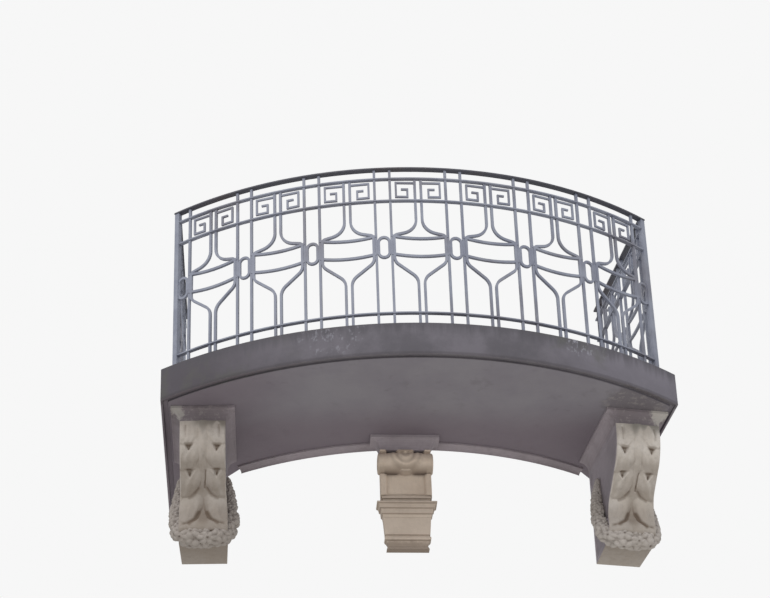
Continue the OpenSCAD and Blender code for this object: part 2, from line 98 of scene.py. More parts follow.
# Consoles: x and y of the middle of the back, and turn in plan in degrees
CONSOLES = {"left": (-1.056, 0.163, -2.0), "right": (1.018, 0.163, 8.0)}
CONSOLE_W = 0.225
CONSOLE_D = 0.505
CONSOLE_H = 0.600
CONSOLE_STEP = 0.0025

# Height of the caps over consoles and corbel
CAP_H = 0.075

# A console's front below its cap: straight lengths, and bends as radius and turn in degrees
NECK = 0.045
SHOULDER = (0.210, -50)
SHANK = 0.125
WAIST = (0.150, 62)

# Edges beside the carving: width and drop of their rounding, and how much wider a scroll gets
EDGE_W = 0.004
EDGE_DROP = 0.0022
FLARE = 0.07

# Sunk panel on a console's side: margin round it, width of its sloping rim, depth, and painted shade at its
# deep edge
PANEL_MARGIN = 0.022
PANEL_RIM = 0.005
PANEL_DEPTH = 0.005
PANEL_SHADE = 0.12

# Spiral on the side of a console's scroll: half thickness, how deep it is seated, turns and start
SPIRAL_THICK = 0.006
SPIRAL_SUNK = 0.004
SPIRAL_TURNS = 1.9
SPIRAL_START = math.radians(100)
SPIRAL_POINTS = 70

# Corners of the consoles' caps where the paint has come off, and the share of their x where the damp lies
CAP_CORNERS = [(1.220, -0.344, SLAB_LOW.z - 0.030), (-1.204, -0.362, SLAB_LOW.z - 0.030)]
DAMP_INWARDS = 0.92

# Acanthus leaf on a console's front: x to one side of its middle, s down from the cap
# Its low swell's half width and height, and the heights of the rib, the tongue's stem and its end
SWELL_HALF = 0.110
SWELL_HEIGHT = 0.004
RIB_HEIGHT = 0.006
STEM_HEIGHT = 0.006
TONGUE_HEIGHT = 0.015
# Lobes: depth of their veins, their drift, and the x between which some of them fade
VEIN_DEPTH = 0.003
LOBE_DRIFT = 0.002
FADE_X = (0.066, 0.108)
# Lobes: centre, radii, lean, height, and how much they fade outwards
LEAF_LOBES = [((0.070, 0.050), (0.054, 0.084), 0.15, 0.013, 0),
              ((0.070, 0.172), (0.057, 0.086), 0.18, 0.016, 0),
              ((0.063, 0.300), (0.057, 0.097), 0.24, 0.025, 0.65),
              ((0.060, 0.443), (0.053, 0.094), 0.22, 0.028, 0.65)]
# Holes between the lobes: centre, half width, half height and depth
LEAF_PITS = [((0.069, 0.142), 0.012, 0.019, 0.016), ((0.066, 0.266), 0.013, 0.020, 0.017)]
# Grooves in the top lobes and beside the rib
LOBE_GROOVE = [(0.082, 0.022), (0.082, 0.088)]
RIB_GROOVE = [(0.013, 0.255), (0.009, 0.350)]
GROOVE_DEPTH = 0.005
# Painted shadow under the lower lobes' tips: share, path and half width
LEAF_SHADOWS = [(0.50, [(0.020, 0.350), (0.042, 0.385), (0.068, 0.399)], 0.012),
             (0.45, [(0.018, 0.474), (0.038, 0.516), (0.064, 0.537)], 0.014)]

# Garland of a console: x, out, z and half thickness, from the top of one strand to the front
STRAND = [(0.117, 0.150, -0.190, 0.006), (0.118, 0.150, -0.200, 0.012), (0.123, 0.148, -0.240, 0.019),
          (0.128, 0.142, -0.290, 0.026), (0.131, 0.146, -0.345, 0.033), (0.133, 0.160, -0.420, 0.040),
          (0.130, 0.188, -0.495, 0.044), (0.114, 0.222, -0.554, 0.046), (0.084, 0.246, -0.584, 0.046),
          (0.044, 0.259, -0.596, 0.046), (0.0, 0.263, -0.599, 0.046)]
GARLAND_POINTS = 520
GARLAND_SIDES = 104
GARLAND_SEED = 20
CORD_SHARE = 0.69

# Blossoms: first and last one from the garland's ends, and pitch in half thicknesses
BLOSSOM_FIRST = 0.016
BLOSSOM_LAST = 0.012
BLOSSOM_PITCH = 1.22
# Least and most radius in half thicknesses, and share of painted shade
LARGE_BLOSSOM = (0.80, 1.02, 1)
SMALL_BLOSSOM = (0.36, 0.52, 0.4)

# Corbel: its middle, its width, where its scroll ends below the slab, and the grid of its carving
CORBEL_X = -0.055
CORBEL_W = 0.256
CORBEL_END = 0.334
CORBEL_STEP = 0.002

# Corbel's roll: how far out and down its middle lies, and its radii out and down
ROLL_OUT = 0.040
ROLL_DOWN = 0.138
ROLL_RADII = (0.054, 0.056)

# Corbel's neck over the roll: how far out it stands, how much less beside the shell, and where it ends
NECK_OUT = 0.080
NECK_GAP = 0.038
NECK_END = 0.092

# Corbel's shell: top, radii across and down, and ribs, then how far out and down its tip hangs
SHELL_TOP = 0.090
SHELL_RADII = (0.092, 0.122)
SHELL_RIBS = 3
TIP_OUT = 0.030
TIP_DOWN = 0.182
TIP_RADII = (0.056, 0.030)

# Field under the roll: how far out it stands, where it starts, its depth, and the groove at its foot
FIELD_OUT = 0.057
FIELD_TOP = 0.190
FIELD_DEPTH = 0.012
FIELD_FOOT = 0.321
FOOT_GROOVE_DEPTH = 0.007
FOOT_GROOVE_HALF = 0.0030

# Turned boss on each end of the roll: radius, rise and painted shade of its rings, from the middle outwards
BOSS_RINGS = [(0.001, 0.012, 0), (0.010, 0.012, 0), (0.015, 0.008, 0.4), (0.020, 0.008, 0.4),
              (0.025, 0.012, 0), (0.033, 0.012, 0), (0.038, 0.007, 0.4), (0.043, 0.009, 0),
              (0.050, 0.010, 0), (0.055, 0.005, 0), (0.056, -0.020, 0)]
BOSS_SIDES = 48


def make_camera():
    across = Vector((math.cos(CAMERA_YAW), math.sin(CAMERA_YAW), 0))
    level = Vector((-math.sin(CAMERA_YAW), math.cos(CAMERA_YAW), 0))
    up = Vector((0, 0, 1))
    ahead = level * math.cos(CAMERA_PITCH) + up * math.sin(CAMERA_PITCH)
    head = up * math.cos(CAMERA_PITCH) - level * math.sin(CAMERA_PITCH)
    right = across * math.cos(CAMERA_ROLL) + head * math.sin(CAMERA_ROLL)
    head = head * math.cos(CAMERA_ROLL) - across * math.sin(CAMERA_ROLL)
    data = bpy.data.cameras.new("camera")
    data.sensor_fit = "HORIZONTAL"
    data.sensor_width = SENSOR_WIDTH
    data.lens = FOCAL_PIXELS / PHOTO_WIDTH * SENSOR_WIDTH
    camera = bpy.data.objects.new("camera", data)
    turned = Matrix((right, head, -ahead)).transposed().to_4x4()
    camera.matrix_world = Matrix.Translation(CAMERA_AT) @ turned
    bpy.context.scene.collection.objects.link(camera)
    bpy.context.scene.camera = camera


# Materials
def srgb(r, g, b):
    """A colour given in 0 to 255, as the linear values that shaders use."""
    def linear(c):
        c /= 255
        return c / 12.92 if c <= 0.04045 else ((c + 0.055) / 1.055) ** 2.4
    return (linear(r), linear(g), linear(b), 1)


class Nodes:
    """Short calls for building a material's nodes."""

    def __init__(self, name):
        self.material = bpy.data.materials.new(name)
        self.material.use_nodes = True
        self.tree = self.material.node_tree
        self.tree.nodes.clear()
        self.output = self.tree.nodes.new("ShaderNodeOutputMaterial")
        self.shader = self.add("ShaderNodeBsdfPrincipled")
        self.link(self.shader.outputs["BSDF"], self.output.inputs["Surface"])
        self.place = self.add("ShaderNodeTexCoord").outputs["Object"]

    def add(self, kind):
        return self.tree.nodes.new(kind)

    def link(self, a, b):
        self.tree.links.new(a, b)

    def put(self, socket, value):
        if isinstance(value, bpy.types.NodeSocket):
            self.link(value, socket)
        else:
            socket.default_value = value

    def stretched(self, x, y, z):
        node = self.add("ShaderNodeMapping")
        self.link(self.place, node.inputs["Vector"])
        node.inputs["Scale"].default_value = (x, y, z)
        return node.outputs["Vector"]

    def noise(self, scale, detail=4.0, rough=0.55, place=None):
        node = self.add("ShaderNodeTexNoise")
        self.link(place or self.place, node.inputs["Vector"])
        node.inputs["Scale"].default_value = scale
        node.inputs["Detail"].default_value = detail
        node.inputs["Roughness"].default_value = rough
        return node.outputs["Fac"]

    def ramp(self, value, low, high, to_low=0.0, to_high=1.0):
        node = self.add("ShaderNodeMapRange")
        node.interpolation_type = "SMOOTHSTEP"
        self.put(node.inputs["Value"], value)
        node.inputs["From Min"].default_value = low
        node.inputs["From Max"].default_value = high
        node.inputs["To Min"].default_value = to_low
        node.inputs["To Max"].default_value = to_high
        return node.outputs["Result"]

    def spots(self, scale, low, high, detail=6.0, rough=0.7, place=None):
        """Share of the places where a noise is high, between two levels."""
        return self.ramp(self.noise(scale, detail, rough, place), low, high)

    def math(self, operation, a, b):
        node = self.add("ShaderNodeMath")
        node.operation = operation
        self.put(node.inputs[0], a)
        self.put(node.inputs[1], b)
        return node.outputs[0]

    def times(self, a, b):
        return self.math("MULTIPLY", a, b)

    def mix(self, share, a, b):
        node = self.add("ShaderNodeMix")
        node.data_type = "RGBA"
        self.put(node.inputs["Factor"], share)
        self.put(node.inputs[6], a)
        self.put(node.inputs[7], b)
        return node.outputs[2]

    def over(self, under, colour, share, strength):
        """A colour laid over another one, as far as the share times the strength."""
        return self.mix(self.times(share, strength), under, colour)

    def axis(self, vector, name):
        node = self.add("ShaderNodeSeparateXYZ")
        self.link(vector, node.inputs[0])
        return node.outputs[name]

    def facing(self, name):
        return self.axis(self.add("ShaderNodeNewGeometry").outputs["True Normal"], name)

    def attribute(self, name):
        node = self.add("ShaderNodeAttribute")
        node.attribute_name = name
        return node.outputs["Fac"]

    def edges(self, radius):
        """Share of an outer edge, from the turn of its rounded normal."""
        rounded = self.add("ShaderNodeBevel")
        rounded.samples = 4
        rounded.inputs["Radius"].default_value = radius
        both = self.add("ShaderNodeVectorMath")
        both.operation = "DOT_PRODUCT"
        self.link(rounded.outputs["Normal"], both.inputs[0])
        self.link(self.add("ShaderNodeNewGeometry").outputs["Normal"], both.inputs[1])
        return self.ramp(both.outputs["Value"], 0.80, 0.98, 1, 0)

    def away_from(self, centre, place=None):
        node = self.add("ShaderNodeVectorMath")
        node.operation = "DISTANCE"
        self.link(place or self.place, node.inputs[0])
        node.inputs[1].default_value = centre
        return node.outputs["Value"]

    def near(self, centre, radius, ragged):
        """Share of a ragged patch round a point."""
        edge = self.math("ADD", self.away_from(centre), self.times(self.noise(22.0, 6.0, 0.65), ragged))
        return self.ramp(edge, 0.5 * ragged + radius * 0.75, 0.5 * ragged + radius * 1.15, 1, 0)

    def bump(self, height, distance, under=None):
        node = self.add("ShaderNodeBump")
        self.link(height, node.inputs["Height"])
        node.inputs["Distance"].default_value = distance
        if under is not None:
            self.link(under, node.inputs["Normal"])
        return node.outputs["Normal"]

    def finish(self, colour, roughness, normal=None):
        self.put(self.shader.inputs["Base Color"], colour)
        self.put(self.shader.inputs["Roughness"], roughness)
        if normal is not None:
            self.link(normal, self.shader.inputs["Normal"])
        return self.material


def painted_iron(name, paint, worn, rust):
    """Brush-painted iron: uneven paint, worn patches, and a little rust in spots and on edges."""
    n = Nodes(name)
    patches = n.spots(9.0, 0.42, 0.62, 5.0, 0.55)
    colour = n.mix(patches, paint, worn)
    colour = n.over(colour, rust, n.spots(3.0, 0.5, 0.7, 3.0, 0.55), 0.35)
    freckles = n.spots(85.0, 0.65, 0.73, 6.0, 0.65)
    colour = n.over(colour, rust, freckles, 0.8)
    wear = n.times(n.edges(0.002), n.spots(45.0, 0.46, 0.62, 5.0, 0.65))
    colour = n.over(colour, rust, wear, 0.5)
    runs = n.noise(220.0, 3.0, 0.6, n.stretched(1, 1, 0.12))
    normal = n.bump(runs, 0.0006, n.bump(freckles, 0.0005))
    return n.finish(colour, n.ramp(patches, 0, 1, 0.45, 0.65), normal)


def slab_front(n, blotches, grain):
    """Stained grey edge of the slab: painted shade at its left end, painted light at its right end, grime,
    lime, moss, and a dark line of dirt and painted shade at its foot.
    """
    x, z = n.axis(n.place, "X"), n.axis(n.place, "Z")
    colour = n.mix(n.ramp(blotches, 0.38, 0.62), srgb(94, 90, 96), srgb(113, 108, 115))
    # Painted shade: the left end of the front is darker. The moss below lies there too.
    shaded_left = n.ramp(x, -1.15, -0.45, 1, 0)
    colour = n.over(colour, srgb(80, 74, 80), shaded_left, 0.8)
    # Painted light: the right end of the front is lighter.
    lit_right_end = n.ramp(x, 0.45, 1.0, 0, 0.6)
    colour = n.mix(lit_right_end, colour, srgb(128, 123, 132))
    streaks = n.noise(26.0, 5.0, 0.6, n.stretched(1, 1, 0.08))
    grime = n.ramp(n.math("ADD", z, n.times(streaks, 0.16)), SLAB_TOP.z, SLAB_TOP.z + 0.09)
    colour = n.over(colour, srgb(78, 75, 80), grime, 0.75)
    lime = n.spots(48.0, 0.54, 0.62, place=n.stretched(1, 1, 0.6))
    middle_patch = n.near((-0.45, -0.808, SLAB_TOP.z - 0.03), 0.15, 0.20)
    right_patch = n.near((0.80, -0.696, SLAB_TOP.z + 0.05), 0.15, 0.14)
    limed = n.times(lime, n.math("MAXIMUM", middle_patch, n.times(right_patch, 1.7)))
    colour = n.over(colour, srgb(150, 148, 156), limed, 0.45)
    mossy = n.math("MAXIMUM", shaded_left, n.near((0.72, -0.72, SLAB_TOP.z - 0.05), 0.20, 0.20))
    moss = n.times(n.spots(5.0, 0.50, 0.66, 5.0, 0.6), mossy)
    colour = n.over(colour, srgb(90, 90, 82), moss, 0.5)
    # Dirt and painted shade along the drip edge: the foot of the front is darker.
    rough_z = n.math("ADD", z, n.times(grain, 0.008))
    foot = n.ramp(rough_z, SLAB_LOW.z + 0.012, SLAB_LOW.z + 0.024, 1, 0)
    return n.over(colour, srgb(*RIM_SHADE), foot, 0.45)


def slab_underside(n, blotches):
    """Smooth underside of the slab: painted shade, darker and browner inwards and at the left end, damp and
    scaled at the right, with a dark rim of dirt and painted shade.
    """
    colour = n.mix(n.ramp(blotches, 0.32, 0.68), srgb(126, 120, 127), srgb(134, 129, 134))
    colour = n.over(colour, srgb(108, 100, 106), n.spots(11.0, 0.58, 0.72, 5.0, 0.6), 0.35)
    # Painted shade: the underside is darker and browner towards the wall and at its left end.
    shaded_left = n.ramp(n.axis(n.place, "X"), -1.0, -0.5, 0.8, 0)
    inner = n.math("MAXIMUM", n.ramp(n.axis(n.place, "Y"), -0.45, -0.10), shaded_left)
    colour = n.over(colour, srgb(112, 98, 106), inner, 0.65)
    damp = n.near((1.08, -0.44, SLAB_LOW.z), 0.17, 0.16)
    colour = n.over(colour, srgb(98, 90, 92), damp, 0.55)
    scale = n.times(damp, n.spots(30.0, 0.51, 0.62))
    colour = n.over(colour, srgb(158, 152, 148), scale, 0.42)
    # Dirt and painted shade along the drip edge: the outer rim of the underside is darker.
    out = n.away_from((0, SLAB_CENTRE_Y, 0), n.stretched(1, 1, 0))
    rim_from = SLAB_R - RIM_W
    rim = n.ramp(out, rim_from - RIM_SOFT, rim_from + RIM_SOFT)
    return n.over(colour, srgb(*RIM_SHADE), rim, 0.5)


def weathered_concrete():
    """The slab: its front, its underside and its tread, with chipped edges."""
    n = Nodes("concrete")
    grain = n.noise(140.0, 6.0, 0.7)
    blotches = n.noise(3.2, 6.0, 0.62)
    tread = n.mix(n.ramp(blotches, 0.36, 0.64), srgb(132, 128, 128), srgb(112, 108, 109))
    down = n.ramp(n.facing("Z"), -0.6, -0.4, 1, 0)
    colour = n.mix(down, slab_front(n, blotches, grain), slab_underside(n, blotches))
    colour = n.mix(n.ramp(n.facing("Z"), 0.5, 0.7), colour, tread)
    chips = n.times(n.edges(0.006), n.spots(32.0, 0.50, 0.60))
    colour = n.over(colour, srgb(150, 145, 142), chips, 0.45)
    normal = n.bump(grain, 0.0010, n.bump(n.noise(18.0, 5.0), 0.002))
    return n.finish(colour, 0.85, normal)


def peeled_corners(n, colour, hollow, peeled):
    """Damp round the outer corners of the caps, where the paint has come off in a patch and in flakes."""
    for corner in CAP_CORNERS:
        damp = n.near((corner[0] * DAMP_INWARDS, corner[1], corner[2]), 0.17, 0.14)
        colour = n.over(colour, hollow, damp, 0.45)
        colour = n.over(colour, peeled, n.near(corner, 0.055, 0.14), 0.80)
        flakes = n.times(damp, n.spots(36.0, 0.54, 0.62))
        colour = n.over(colour, peeled, flakes, 0.24)
    return colour


def plaster(name, light, dark, stain, hollow, shaded=0.0, peeled=None, foot_darkening=0.0):
    """Painted stucco: fine grain, soft blotches, runs of dirt, and painted shade in hollows, on undersides
    and at the left end.
    """
    n = Nodes(name)
    colour = n.mix(n.spots(6.0, 0.35, 0.68, 6.0, 0.6), light, dark)
    streaks = n.spots(30.0, 0.54, 0.74, 5.0, 0.6, n.stretched(1, 1, 0.14))
    colour = n.over(colour, stain, streaks, 0.30)
    colour = n.over(colour, stain, n.spots(55.0, 0.44, 0.66), 0.16)
    if peeled is not None:
        colour = peeled_corners(n, colour, hollow, peeled)
    # Painted shade: faces that look down are darker, as far as the shaded share goes.
    underside = n.ramp(n.facing("Z"), -0.85, -0.25, 1, 0)
    colour = n.over(colour, hollow, underside, shaded)
    colour = n.over(colour, stain, n.attribute("stain"), 0.8)
    # Painted shade in the carving's hollows, from its hollow share.
    colour = n.mix(n.attribute("hollow"), colour, hollow)
    # Painted shade: every plaster is darker at the left end.
    shaded_left = n.ramp(n.axis(n.place, "X"), -1.0, -0.7, 0.32, 0)
    colour = n.mix(shaded_left, colour, hollow)
    # Darker towards the bottom, below a ragged level near the corbel's base.
    if foot_darkening:
        rough_z = n.math("ADD", n.axis(n.place, "Z"), n.times(n.noise(34.0, 6.0, 0.7), 0.05))
        foot = n.ramp(rough_z, SLAB_LOW.z - 0.568, SLAB_LOW.z - 0.540, foot_darkening, 0)
        colour = n.mix(foot, colour, hollow)
    chips = n.times(n.edges(0.003), n.spots(40.0, 0.50, 0.62))
    colour = n.over(colour, light, chips, 0.25)
    normal = n.bump(n.noise(260.0, 5.0, 0.65), 0.0010, n.bump(n.noise(24.0, 5.0), 0.002))
    return n.finish(colour, 0.9, normal)


def make_materials():
    """Iron with its paint, worn paint and rust. Plaster with its light, dark, stain and hollow colour."""
    return {
        "railing_iron": painted_iron(
            "railing_iron", srgb(130, 133, 148), srgb(148, 151, 164), srgb(92, 78, 74)),
        "handrail_iron": painted_iron(
            "handrail_iron", srgb(67, 67, 76), srgb(80, 79, 88), srgb(84, 64, 56)),
        "concrete": weathered_concrete(),
        "grey_plaster": plaster("grey_plaster", srgb(160, 149, 154), srgb(146, 136, 140),
                                srgb(124, 114, 116), srgb(98, 88, 90), peeled=srgb(196, 190, 182)),
        "cream_stucco": plaster("cream_stucco", srgb(207, 190, 174), srgb(196, 179, 163),
                                srgb(170, 154, 140), srgb(122, 106, 94), shaded=0.55, foot_darkening=0.62),
        # Painted light: the cream stucco, made lighter for the corbel's scroll, which stands in more shade
        # under the slab
        "corbel": plaster("corbel", srgb(226, 207, 188), srgb(214, 194, 175),
                          srgb(180, 164, 149), srgb(122, 106, 94), shaded=0.55),
        "console": plaster("console", srgb(216, 207, 199), srgb(202, 191, 180),
                           srgb(132, 127, 119), srgb(112, 97, 84), shaded=0.45),
        "console_side": plaster("console_side", srgb(164, 154, 160), srgb(150, 141, 146),
                                srgb(130, 121, 124), srgb(98, 90, 92)),
        "garland": plaster("garland", srgb(188, 179, 172), srgb(175, 166, 158),
                           srgb(150, 140, 132), srgb(112, 100, 92)),
    }


def dress_nodes():
    """Materials of the carried-over nodes, and the small rounding of their edges."""
    for part in frame["record"]["subparts"]:
        node = nodes[part["node"]]
        slot = part["material_slot"]
        node.data.materials.clear()
        node.data.materials.append(materials[slot])
        weld = node.modifiers.new("joined", "WELD")
        weld.merge_threshold = WELD_GAP
        bevel = node.modifiers.new("rounded", "BEVEL")
        bevel.width = ROUNDING[slot]
        bevel.segments = 1 if ROUNDING[slot] < FINE_ROUNDING else 2
        bevel.limit_method = "ANGLE"
        bevel.angle_limit = SHARP_ANGLE


# Meshes
class Build:
    """Points and faces of one mesh, with the painted shade and the stain of each point and the finish of
    each face.
    """

    def __init__(self):
        self.points = []
        self.hollow = []
        self.stain = []
        self.faces = []
        self.slots = []
        self.finish = 0

    def point(self, p, hollow=0.0, stain=0.0):
        self.points.append(tuple(p))
        self.hollow.append(hollow)
        self.stain.append(stain)
        return len(self.points) - 1

    def face(self, corners):
        self.faces.append(tuple(corners))
        self.slots.append(self.finish)

    def grid(self, rows, closed=False):
        for upper, lower in zip(rows, rows[1:]):
            for k in range(len(upper) if closed else len(upper) - 1):
                n = (k + 1) % len(upper)
                self.face((upper[k], upper[n], lower[n], lower[k]))

    def tube(self, rings):
        """Rings joined one after the other, with a face over each end."""
        self.grid(rings, closed=True)
        self.face(rings[0])
        self.face(rings[-1])

    def fill(self, rings):
        flat = [i for ring in rings for i in ring]
        for triangle in tessellate_polygon([[Vector(self.points[i]) for i in ring] for ring in rings]):
            self.face(flat[k] for k in triangle)

    def back(self, rows, across, low, high):
        """Top, foot and flat back behind a carved front. Gives the outlines of both sides."""
        first, last = [(self.point((x, 0, low)), self.point((x, 0, high))) for x in (across[0], across[-1])]
        self.face(rows[0] + [last[1], first[1]])
        self.face(rows[-1] + [last[0], first[0]])
        self.face((first[0], first[1], last[1], last[0]))
        return [row[0] for row in rows] + list(first), [row[-1] for row in rows] + list(last)

    def mesh(self, name):
        mesh = bpy.data.meshes.new(name)
        mesh.from_pydata(self.points, [], self.faces)
        mesh.polygons.foreach_set("material_index", self.slots)
        for layer, values in (("hollow", self.hollow), ("stain", self.stain)):
            data = mesh.attributes.new(layer, "FLOAT", "POINT").data
            data.foreach_set("value", np.asarray(values, dtype=np.float32))
        bm = bmesh.new()
        bm.from_mesh(mesh)
        bmesh.ops.recalc_face_normals(bm, faces=bm.faces)
        bm.to_mesh(mesh)
        bm.free()
        return mesh


def add_object(name, data, finishes):
    for finish in finishes:
        data.materials.append(materials[finish])
    piece = bpy.data.objects.new(name, data)
    bpy.context.scene.collection.objects.link(piece)
    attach(piece, "root")
    return piece


def add_carving(build, name, matrix, sharp, finishes):
    """A carved piece in its place, smooth but for edges that turn by more than the sharp angle."""
    mesh = build.mesh(name)
    mesh.transform(matrix)
    mesh.polygons.foreach_set("use_smooth", [True] * len(mesh.polygons))
    mesh.set_sharp_from_angle(angle=math.radians(sharp))
    return add_object(name, mesh, finishes)


def smooth(value, low, high):
    t = np.clip((value - low) / (high - low), 0, 1)
    return t * t * (3 - 2 * t)


def blurred(field, reach):
    """Mean of a field over a square that reaches some points to each side."""
    width = 2 * reach + 1
    for _ in range(2):
        padded = np.pad(field, [(reach, reach), (0, 0)], mode="edge")
        total = np.insert(np.cumsum(padded, axis=0), 0, 0, axis=0)
        field = ((total[width:] - total[:-width]) / width).T
    return field


# Leaf
def lobe(x, s, centre, radii, lean, tall):
    """A lobe of the leaf, low at its top and full at its round, steep lower end."""
    across = (x - centre[0] - lean * (s - centre[1])) / radii[0]
    down = (s - centre[1]) / radii[1]
    reach = np.hypot(across, down)
    grow = smooth(down, -1.1, 0.45)
    veins = VEIN_DEPTH * (0.5 - 0.5 * np.cos(across * 3.2 * math.pi))
    veins = veins * smooth(down, -0.6, 0.1) * (1 - smooth(reach, 0.75, 0.95))
    return (tall * grow * np.clip(1 - reach ** 2, 0, 1) ** 0.42 - veins) * (reach < 1)


def pit(x, s, centre, half_wide, half_high):
    """Share of a triangular hole with its point down."""
    drop = (s - centre[1]) / half_high
    width = half_wide * (1 - np.clip(drop, -1, 1)) / 2 * 1.6 + 0.001
    inside = 1 - smooth(np.abs(x - centre[0]) / width, 0.3, 1.7)
    return inside * (1 - smooth(np.abs(drop), 0.55, 1.35))


def stroke(x, s, points, half):
    """Share of a soft groove along a line of points."""
    share = np.zeros_like(x)
    for start, end in zip(points, points[1:]):
        dx, ds = end[0] - start[0], end[1] - start[1]
        t = np.clip(((x - start[0]) * dx + (s - start[1]) * ds) / (dx * dx + ds * ds), 0, 1)
        away = np.hypot(x - start[0] - t * dx, s - start[1] - t * ds)
        share = np.maximum(share, 1 - smooth(away, half * 0.1, half))
    return share


def leaf_height(x, s, dice):
    """Height of the leaf: a low swell with a rib, rows of lobes, and a tongue at its foot."""
    high = SWELL_HEIGHT * np.clip(1 - (x / SWELL_HALF) ** 2, 0, 1)
    rib = 1 - smooth(s, 0.30, 0.38)
    rib_half = 0.022 - 0.010 * smooth(s, 0.1, 0.35)
    high = high + rib * RIB_HEIGHT * np.clip(1 - (x / rib_half) ** 2, 0, 1)
    for side in (-1, 1):
        for centre, radii, lean, tall, faded in LEAF_LOBES:
            nudge = dice.uniform(-LOBE_DRIFT, LOBE_DRIFT)
            nudged = (centre[0] + nudge, centre[1] + nudge)
            outer = 1 - faded * smooth(x * side, *FADE_X)
            high = np.maximum(high, outer * lobe(x * side, s, nudged, radii, lean, tall))
    tongue_half = 0.010 + 0.012 * smooth(s, 0.36, 0.46) + 0.088 * smooth(s, 0.500, 0.560)
    tongue = np.clip(1 - (x / tongue_half) ** 2, 0, 1) ** 0.5
    tongue = tongue * smooth(s, 0.36, 0.44) * (1 - smooth(s, 0.572, 0.582))
    tongue = tongue * (STEM_HEIGHT + (TONGUE_HEIGHT - STEM_HEIGHT) * smooth(s, 0.48, 0.56))
    high = np.maximum(high, tongue)
    for side in (-1, 1):
        for centre, half_wide, half_high, deep in LEAF_PITS:
            high = high - deep * pit(x * side, s, centre, half_wide, half_high)
        high = high - GROOVE_DEPTH * stroke(x * side, s, LOBE_GROOVE, 0.008)
    high = high - GROOVE_DEPTH * stroke(x, s, RIB_GROOVE, 0.006)
    return blurred(high, 1)


def leaf_shade(x, s, high):
    """Painted shade on the leaf: in fine and wide hollows, low down, on the tongue's stem and along
    strokes.
    """
    painted_shade = 0.30 * np.clip((blurred(high, 3) - high) / 0.005 - 0.1, 0, 1)
    painted_shade = painted_shade + 1.3 * np.clip((blurred(high, 7) - high) / 0.012 - 0.12, 0, 1)
    painted_shade = painted_shade + 0.46 * smooth(s, 0.36, 0.50)
    stem = 0.24 * smooth(s, 0.33, 0.42) * (1 - smooth(np.abs(x), 0.012, 0.036))
    painted_shade = painted_shade + stem * (1 - smooth(s, 0.52, 0.56))
    painted_shade = painted_shade + 0.30 * stroke(x, s, RIB_GROOVE, 0.007)
    for side in (-1, 1):
        for share, points, half in LEAF_SHADOWS:
            painted_shade = painted_shade + share * stroke(x * side, s, points, half)
    return np.clip(painted_shade, 0, 1)


def leaf_relief(x, s, seed):
    """Height and painted shade of the leaf, with the small drift of a chisel. x and s in metres."""
    drifted_x = x + 0.0016 * np.sin(41 * s + 2 * seed) + 0.0008 * np.sin(97 * s + 61 * x)
    drifted_s = s + 0.0022 * np.sin(33 * x + 23 * s + 3 * seed) + 0.0010 * np.sin(83 * x - 71 * s)
    high = leaf_height(drifted_x, drifted_s, random.Random(seed))
    return high, leaf_shade(drifted_x, drifted_s, high)


# Consoles
def front_line():
    """Console's front from under the cap to the end of its scroll, and the scroll's radius.

    Each point of the line is (out, z, heading), with the heading in degrees."""
    out, z, heading = CONSOLE_D, -CAP_H, -90.0
    scroll_heading = heading + SHOULDER[1] + WAIST[1]
    line = [(out, z, heading)]

    def run(length, turn=0.0):
        nonlocal out, z, heading
        count = max(1, round(length / CONSOLE_STEP))
        for _ in range(count):
            heading += turn / count / 2
            out += length / count * math.cos(math.radians(heading))
            z += length / count * math.sin(math.radians(heading))
            heading += turn / count / 2
            line.append((out, z, heading))

    def bend(radius, turn):
        run(radius * math.radians(abs(turn)), turn)

    run(NECK)
    bend(*SHOULDER)
    run(SHANK)
    bend(*WAIST)
    radius = (CONSOLE_H + z) / (1 + math.cos(math.radians(scroll_heading)))
    bend(radius, -180 - scroll_heading)
    return line, radius


def console_matrix(side):
    x, y, turn = CONSOLES[side]
    return Matrix.Translation((x, y, SLAB_LOW.z)) @ Matrix.Rotation(math.radians(turn), 4, "Z")


def panel_rims(line):
    """Upper and lower edge of a side panel's sloping rim, as (out, z), with equally many points."""
    margins = (PANEL_MARGIN, PANEL_MARGIN + PANEL_RIM)
    fronts = []
    for far in margins:
        moved = [(out + far * math.sin(math.radians(heading)), z - far * math.cos(math.radians(heading)))
                 for out, z, heading in line[::3]]
        fronts.append([(out, z) for out, z in moved if -CONSOLE_H + far < z < -CAP_H - far and out > far])
    count = min(len(front) for front in fronts)
    rims = []
    for front, far in zip(fronts, margins):
        front = [front[round(k * (len(front) - 1) / (count - 1))] for k in range(count)]
        foot, top = -CONSOLE_H + far, -CAP_H - far
        rims.append([(front[0][0], top), *front, (front[-1][0], foot), (far, foot), (far, top)])
    return rims


def cap_drips(x, s, seed):
    """Share of the dark runs under the cap, which end unevenly and leave the left side free."""
    runs = 0.030 + 0.022 * np.cos(x * 47 + seed) + 0.014 * np.cos(x * 131 + 2 * seed)
    return (1 - smooth(s, 0.2 * runs, 1.3 * runs + 0.012)) * smooth(x, -0.07, -0.01)


